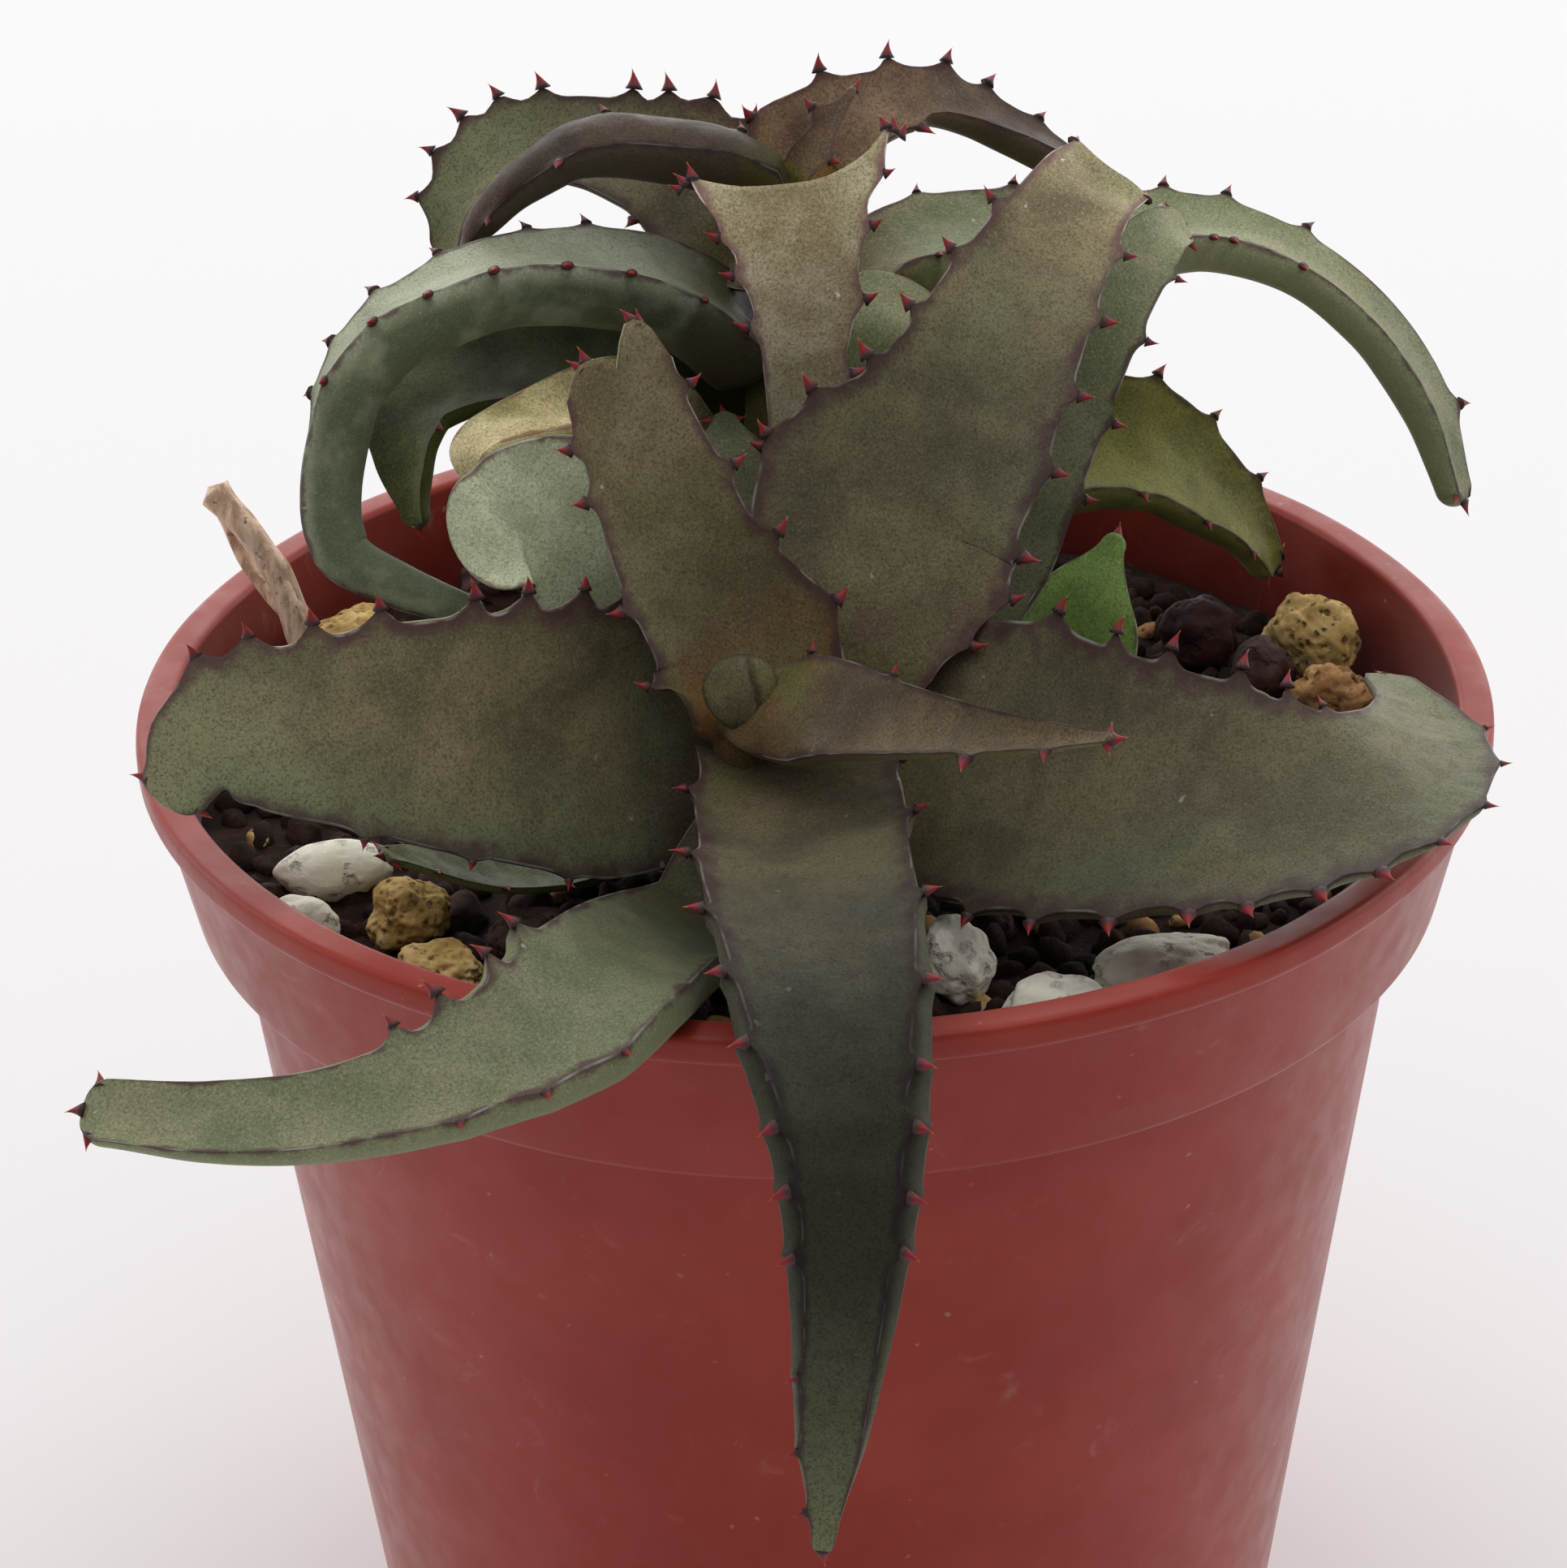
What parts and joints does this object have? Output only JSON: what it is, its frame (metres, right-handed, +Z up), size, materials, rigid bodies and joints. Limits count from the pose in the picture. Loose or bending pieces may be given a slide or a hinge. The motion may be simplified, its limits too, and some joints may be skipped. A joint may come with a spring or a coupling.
{
  "type": "potted aloe",
  "caption": "Potted toothed aloe: two rosettes of arching, red-toothed fleshy leaves in a tapered round plastic nursery pot, with soil, gravel and pumice.",
  "frame": {"origin": "centre of the pot's flat base, on the surface it stands on", "axes": "+Z up along the pot's axis; -Y towards the viewer of the picture, where the front leaf hangs over the rim; +X to the viewer's right"},
  "size_m": [0.0866, 0.1019, 0.1116],
  "materials": {
    "pot_plastic": "satin, dusty, finely scratched",
    "soil_mix": "rough, crumbly",
    "leaf_brown": "matte, finely speckled, purple edges and red teeth",
    "leaf_green": "matte, waxy, finely speckled, red teeth",
    "leaf_wilted": "matte, wrinkled",
    "dry_stalk": "dry, fibrous",
    "stone_white": "chalky",
    "stone_yellow": "porous",
    "stone_dark": "rough"
  },
  "bodies": {
    "root": {"pot": "pot_plastic", "soil": "soil_mix", "stem": "leaf_green", "dry_stalk": "dry_stalk", "stone_white_left": "stone_white", "stone_white_low": "stone_white", "stone_yellow_left": "stone_yellow", "stone_yellow_front": "stone_yellow", "stone_dark_front": "stone_dark", "stone_white_mid": "stone_white", "stone_white_front": "stone_white", "stone_white_right": "stone_white", "stone_yellow_right": "stone_yellow", "stone_brown_right": "stone_yellow", "stone_dark_right": "stone_dark", "chip_dark_right": "stone_dark", "stone_yellow_back": "stone_yellow", "stone_dark_back": "stone_dark", "leaf_front": "leaf_brown", "leaf_left": "leaf_brown", "leaf_right": "leaf_brown", "leaf_front_left": "leaf_green", "leaf_upper_right": "leaf_brown", "leaf_upper_right_rear": "leaf_green", "leaf_forked": "leaf_brown", "leaf_upper_left": "leaf_brown", "leaf_young": "leaf_brown", "leaf_left_rear": "leaf_green", "leaf_green_right": "leaf_green", "leaf_low_left": "leaf_green", "leaf_inner_green": "leaf_green", "leaf_rear_right": "leaf_green", "leaf_rear_left": "leaf_green", "leaf_arch_left": "leaf_brown", "leaf_arch_right": "leaf_brown", "leaf_rear_young": "leaf_brown", "leaf_hook": "leaf_green", "leaf_wilted": "leaf_wilted", "leaf_olive": "leaf_green", "leaf_rear_front": "leaf_green", "leaf_droop_right": "leaf_wilted"}
  },
  "joints": []
}
